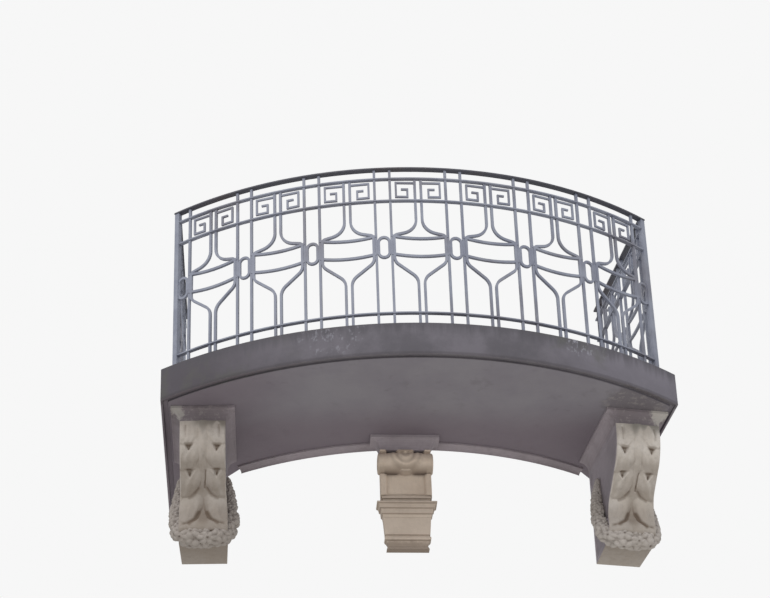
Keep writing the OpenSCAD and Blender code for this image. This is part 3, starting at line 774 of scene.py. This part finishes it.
def make_console(side, seed):
    """Console body with the carved leaf on its front and a sunk panel on each side."""
    line, _ = front_line()
    across = np.arange(-CONSOLE_W / 2, CONSOLE_W / 2 + 1e-6, CONSOLE_STEP)
    along = np.arange(len(line)) * CONSOLE_STEP
    x, s = np.meshgrid(across, along)
    high, painted_shade = leaf_relief(x, s, seed)
    stain = cap_drips(x, s, seed)
    edge = smooth(np.abs(x), CONSOLE_W / 2 - EDGE_W, CONSOLE_W / 2)
    high = high * (1 - edge) - EDGE_DROP * edge
    flare = 1 + FLARE * smooth(along, 0.34, 0.50)
    build = Build()
    rows = []
    for i, (out, z, heading) in enumerate(line):
        nx, nz = -math.sin(math.radians(heading)), math.cos(math.radians(heading))
        rows.append([build.point((across[j] * flare[i], -out - high[i, j] * nx, z + high[i, j] * nz),
                                 painted_shade[i, j], stain[i, j]) for j in range(len(across))])
    build.grid(rows)
    outlines = build.back(rows, across, -CONSOLE_H, -CAP_H)
    build.finish = 1
    upper, lower = panel_rims(line)
    for outline, level, sign in zip(outlines, (across[0], across[-1]), (-1, 1)):
        ring = [build.point((level, -out, z)) for out, z in upper]
        # Painted shade along the panel's deep edge
        deep = [build.point((level - sign * PANEL_DEPTH, -out, z), PANEL_SHADE) for out, z in lower]
        build.fill([outline, ring])
        build.grid([ring, deep], closed=True)
        build.fill([deep])
    name = f"console_{side}_carved"
    piece = add_carving(build, name, console_matrix(side), 50, ("console", "console_side"))
    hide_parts(f"console_{side}")


def make_volutes(side):
    """Spiral on each side of the console's lower scroll."""
    line, radius = front_line()
    middle_out, middle_z = line[-1][0], line[-1][1] + radius
    for hand in (-1, 1):
        name = f"volute_{side}_{'inner' if hand < 0 else 'outer'}"
        data = bpy.data.curves.new(name, "CURVE")
        data.dimensions = "3D"
        data.bevel_depth = SPIRAL_THICK
        data.bevel_resolution = 3
        spline = data.splines.new("POLY")
        spline.points.add(SPIRAL_POINTS - 1)
        x = hand * (CONSOLE_W / 2 - SPIRAL_SUNK)
        for k in range(SPIRAL_POINTS):
            u = k / (SPIRAL_POINTS - 1)
            a = SPIRAL_START - u * SPIRAL_TURNS * 2 * math.pi
            r = radius * (0.80 - 0.66 * u ** 0.8)
            p = Vector((x, -(middle_out + r * math.cos(a)), middle_z + r * math.sin(a)))
            spline.points[k].co = (*(console_matrix(side) @ p), 1)
            spline.points[k].radius = 1.15 - 0.5 * u
        piece = add_object(name, data, ("console_side",))


# Garlands
def garland_path():
    """Evenly spaced points with half thicknesses along the whole garland, and their places along it."""
    path = np.array([(-x, out, z, half) for x, out, z, half in STRAND] + STRAND[-2::-1])
    # Its corners are cut three times
    for _ in range(3):
        start, end = path[:-1], path[1:]
        cut = np.stack([start * 0.75 + end * 0.25, end * 0.75 + start * 0.25], axis=1)
        path = np.vstack([path[:1], cut.reshape(-1, 4), path[-1:]])
    length = np.insert(np.cumsum(np.linalg.norm(np.diff(path[:, :3], axis=0), axis=1)), 0, 0)
    even = np.linspace(0, length[-1], GARLAND_POINTS)
    path = np.stack([np.interp(even, length, path[:, k]) for k in range(4)], axis=1)
    path[:, 1] *= -1
    return path, even


def cord_directions(path):
    """Directions at each point of the cord: away from the console, and across."""
    ahead = np.gradient(path[:, :3], axis=0)
    ahead /= np.linalg.norm(ahead, axis=1)[:, None]
    front = smooth(1 - np.abs(path[:, 0]) / 0.125, 0.05, 0.6)[:, None]
    beside = np.sign(path[:, :1]) * np.array([1, 0, 0]) + np.array([0, -0.45, -0.05])
    out = (1 - front) * beside + front * np.array([0, -1, -0.45])
    out -= ahead * np.sum(out * ahead, axis=1)[:, None]
    out /= np.linalg.norm(out, axis=1)[:, None]
    return out, np.cross(ahead, out)


def blossom(ahead, around, radius, petals, spin):
    """Rise and painted shade of a blossom with a drilled button, by how far ahead and around its middle
    lies.
    """
    wave = np.abs(np.cos(petals * np.arctan2(around, ahead) / 2 + spin))
    share = np.hypot(ahead, around) / (radius * (0.80 + 0.20 * wave ** 0.6))
    dome = np.sqrt(np.clip(1 - share ** 2, 0, 1))
    gaps = 0.20 * (1 - wave) ** 2 * smooth(share, 0.25, 0.5)
    ring = np.exp(-((share - 0.30) / 0.08) ** 2)
    button = np.exp(-(share / 0.13) ** 2)
    rise = radius * (0.52 * dome - gaps - 0.15 * ring - 0.26 * button)
    return np.where(share < 1, rise, 0), 0.95 * np.exp(-(share / 0.17) ** 2) + gaps


def garland_blossoms(along, half, turn, dice):
    """Rise and painted shade over the cord: rings of three or four large blossoms, with small ones between.
    """
    swell = np.zeros((len(along), len(turn)))
    # Painted shade on the cord between blossoms
    painted_shade = np.full(swell.shape, 0.25)
    place, ring = BLOSSOM_FIRST, 0
    while place < along[-1] - BLOSSOM_LAST:
        thick = float(np.interp(place, along, half))
        spots = [(k * 1.72, *LARGE_BLOSSOM) for k in ((-1, 0, 1) if ring % 2 else (-1.5, -0.5, 0.5, 1.5))]
        spots += [(dice.uniform(-2.4, 2.4), *SMALL_BLOSSOM) for _ in range(3)]
        for angle, least, most, shade_scale in spots:
            at = place + dice.uniform(-0.22, 0.22) * thick
            angle += dice.uniform(-0.20, 0.20)
            radius = thick * dice.uniform(least, most)
            bend = (turn[None, :] - angle + math.pi) % (2 * math.pi) - math.pi
            petals, spin = dice.choice((5, 5, 6)), dice.uniform(0, 6)
            rise, shade = blossom(along[:, None] - at, bend * half[:, None], radius, petals, spin)
            top = rise > swell
            swell = np.where(top, rise, swell)
            painted_shade = np.where(top, shade * shade_scale, painted_shade)
        place += thick * BLOSSOM_PITCH
        ring += 1
    return swell, painted_shade


def blurred_around(field, reach):
    """Mean as in blurred, for a field whose last column meets its first."""
    wrapped = np.concatenate([field[:, -reach:], field, field[:, :reach]], axis=1)
    return blurred(wrapped, reach)[:, reach:-reach]


def make_garland(side, seed):
    """Swag of blossoms, carved as one thick cord whose surface swells into petals and drilled buttons."""
    path, along = garland_path()
    half = path[:, 3]
    out, cross = cord_directions(path)
    turn = np.arange(GARLAND_SIDES) * 2 * math.pi / GARLAND_SIDES
    risen, painted_shade = garland_blossoms(along, half, turn, random.Random(seed))
    swell = blurred_around(risen, 1)
    # Painted shade in the creases between blossoms
    painted_shade = painted_shade + 0.40 * np.clip((blurred_around(risen, 4) - swell) / (0.16 * half[:, None]), 0, 1)
    painted_shade = np.clip(painted_shade, 0, 0.95) * (0.35 + 0.65 * smooth(half, 0.020, 0.040))[:, None]
    radius = half[:, None] * CORD_SHARE + swell
    surface = path[:, None, :3] + radius[:, :, None] * (
        np.cos(turn)[None, :, None] * out[:, None, :] + np.sin(turn)[None, :, None] * cross[:, None, :])
    build = Build()
    build.tube([[build.point(surface[i, k], painted_shade[i, k]) for k in range(GARLAND_SIDES)]
                for i in range(GARLAND_POINTS)])
    piece = add_carving(build, f"garland_{side}", console_matrix(side), 75, ("garland",))


# Corbel
def corbel_relief(x, s):
    """How far the corbel's scroll stands out, and its painted shade. x from its middle, s down from the
    slab.
    """
    wide = np.abs(x)
    # Roll over the panel, with a gap under the cap on both sides of the shell
    roll = ROLL_OUT + ROLL_RADII[0] * np.sqrt(np.clip(1 - ((s - ROLL_DOWN) / ROLL_RADII[1]) ** 2, 0, 1))
    neck = NECK_OUT - NECK_GAP * smooth(wide, 0.036, 0.056) * (1 - smooth(wide, 0.086, 0.100))
    neck = neck * (1 - smooth(s, NECK_END - 0.006, NECK_END))
    depth = np.where(s < NECK_END, np.maximum(neck, roll), roll)
    depth = np.maximum(depth, FIELD_OUT * smooth(s, FIELD_TOP, FIELD_TOP + 0.012))
    # Shell in the middle: a raised U with soft ribs, which hangs a little below the roll
    reach = np.hypot(x / SHELL_RADII[0], np.maximum(s - SHELL_TOP, 0) / SHELL_RADII[1])
    shell = (1 - smooth(reach, 0.80, 1.0)) * smooth(s, SHELL_TOP - 0.012, SHELL_TOP - 0.004)
    ribs = 0.5 + 0.5 * np.cos(reach * 2 * math.pi * SHELL_RIBS)
    tip = 1 - smooth(np.hypot(x / TIP_RADII[0], (s - TIP_DOWN) / TIP_RADII[1]), 0.35, 1.0)
    hang = TIP_OUT * tip
    depth = np.maximum(depth + shell * (0.006 + 0.0040 * ribs), 0.046 + hang)
    lens = 1 - smooth(np.hypot(x / 0.044, (s - 0.087) / 0.011), 0.4, 1.0)
    depth = depth + 0.006 * lens
    # Sunk field between soft frames, over a groove with a slight arch
    inside = (1 - smooth(wide, 0.090, 0.101)) * smooth(s, FIELD_TOP, FIELD_TOP + 0.014)
    inside = inside * (1 - smooth(s, FIELD_FOOT - 0.005, FIELD_FOOT))
    depth = depth - FIELD_DEPTH * inside * (1 - smooth(hang, 0.004, 0.016))
    arch = FIELD_FOOT + 0.004 * (x / 0.1) ** 2
    groove = np.exp(-((s - arch) / FOOT_GROOVE_HALF) ** 2)
    depth = depth - FOOT_GROOVE_DEPTH * groove
    edge = smooth(wide, CORBEL_W / 2 - EDGE_W, CORBEL_W / 2)
    depth = blurred(depth - 0.003 * edge, 1)
    # Painted shade in the groove, in the gap and between the ribs, a painted shadow below the roll, and
    # painted shade in every hollow
    gap = (1 - smooth(s, 0.088, 0.100)) * smooth(wide, 0.034, 0.050) * (1 - smooth(wide, 0.090, 0.102))
    below = np.exp(-((s - 0.199) / 0.012) ** 2)
    below = below * smooth(wide, 0.010, 0.060) * (1 - smooth(wide, 0.100, 0.112))
    painted_shade = 0.6 * groove + 0.75 * gap + 0.8 * below + 0.28 * shell * (1 - ribs)
    return depth, np.clip(painted_shade + 0.35 * np.clip((blurred(depth, 6) - depth) / 0.010, 0, 1), 0, 1)


def add_boss(build, hand):
    """Turned boss on one end of the corbel's roll."""
    angles = [2 * math.pi * k / BOSS_SIDES for k in range(BOSS_SIDES)]
    rings = []
    for radius, rise, painted_shade in BOSS_RINGS:
        x = hand * (CORBEL_W / 2 + rise)
        circle = [(-(ROLL_OUT + radius * math.cos(a)), -ROLL_DOWN + radius * math.sin(a)) for a in angles]
        rings.append([build.point((x, y, z), painted_shade) for y, z in circle])
    build.tube(rings)


def make_corbel():
    """The corbel's scroll with its shell, bosses and sunk panel."""
    across = np.arange(-CORBEL_W / 2, CORBEL_W / 2 + 1e-6, CORBEL_STEP)
    down = np.arange(CAP_H, CORBEL_END + 1e-6, CORBEL_STEP)
    depth, painted_shade = corbel_relief(*np.meshgrid(across, down))
    build = Build()
    rows = [[build.point((across[j], -depth[i, j], -down[i]), painted_shade[i, j]) for j in range(len(across))]
            for i in range(len(down))]
    build.grid(rows)
    for outline in build.back(rows, across, -CORBEL_END, -CAP_H):
        build.fill([outline])
    for hand in (-1, 1):
        add_boss(build, hand)
    place = Matrix.Translation((CORBEL_X, 0, SLAB_LOW.z))
    piece = add_carving(build, "corbel_scroll_carved", place, 50, ("corbel",))
    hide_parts("corbel_scroll")


# Stage
def make_floor():
    z, far = CAMERA_AT.z - EYE_HEIGHT, FLOOR_HALF
    mesh = bpy.data.meshes.new("floor")
    mesh.from_pydata([(-far, -far, z), (far, -far, z), (far, far, z), (-far, far, z)], [], [(0, 1, 2, 3)])
    floor = bpy.data.objects.new("floor", mesh)
    bpy.context.scene.collection.objects.link(floor)
    n = Nodes("floor")
    mesh.materials.append(n.finish(n.mix(n.noise(0.6), srgb(214, 212, 208), srgb(222, 220, 216)), 0.9))


def make_sky():
    """Soft overcast sky, which shows as plain near-white, also in reflections."""
    world = bpy.data.worlds.new("sky")
    world.use_nodes = True
    tree = world.node_tree
    tree.nodes.clear()
    output = tree.nodes.new("ShaderNodeOutputWorld")
    seen = tree.nodes.new("ShaderNodeBackground")
    seen.inputs["Color"].default_value = SKY_SEEN
    lighting = tree.nodes.new("ShaderNodeBackground")
    lighting.inputs["Color"].default_value = SKY_LIGHT
    lighting.inputs["Strength"].default_value = SKY_STRENGTH
    path = tree.nodes.new("ShaderNodeLightPath")
    either = tree.nodes.new("ShaderNodeMath")
    either.operation = "MAXIMUM"
    mix = tree.nodes.new("ShaderNodeMixShader")
    tree.links.new(path.outputs["Is Camera Ray"], either.inputs[0])
    tree.links.new(path.outputs["Is Glossy Ray"], either.inputs[1])
    tree.links.new(either.outputs[0], mix.inputs[0])
    tree.links.new(lighting.outputs[0], mix.inputs[1])
    tree.links.new(seen.outputs[0], mix.inputs[2])
    tree.links.new(mix.outputs[0], output.inputs["Surface"])
    bpy.context.scene.world = world


def make_lights():
    """A soft sun, and the light that the pale ground in front throws back up."""
    data = bpy.data.lights.new("sun", "SUN")
    data.energy = SUN_ENERGY
    data.angle = SUN_SPREAD
    sun = bpy.data.objects.new("sun", data)
    sun.rotation_euler = SUN_TURN
    bpy.context.scene.collection.objects.link(sun)

    data = bpy.data.lights.new("ground_light", "AREA")
    data.energy = BOUNCE_ENERGY
    data.shape = "RECTANGLE"
    data.size, data.size_y = BOUNCE_SIZE
    data.color = BOUNCE_COLOUR
    ground_light = bpy.data.objects.new("ground_light", data)
    ground_light.location = BOUNCE_AT
    aim = Vector((0, SLAB_LOW.y, SLAB_LOW.z)) - BOUNCE_AT
    ground_light.rotation_euler = aim.to_track_quat("-Z", "Y").to_euler()
    bpy.context.scene.collection.objects.link(ground_light)


make_camera()
materials = make_materials()
dress_nodes()
for seed, side in enumerate(CONSOLES):
    make_console(side, seed)
    make_garland(side, seed + GARLAND_SEED)
    make_volutes(side)
make_corbel()
bpy.context.scene.view_settings.view_transform = "Standard"
make_floor()
make_sky()
make_lights()
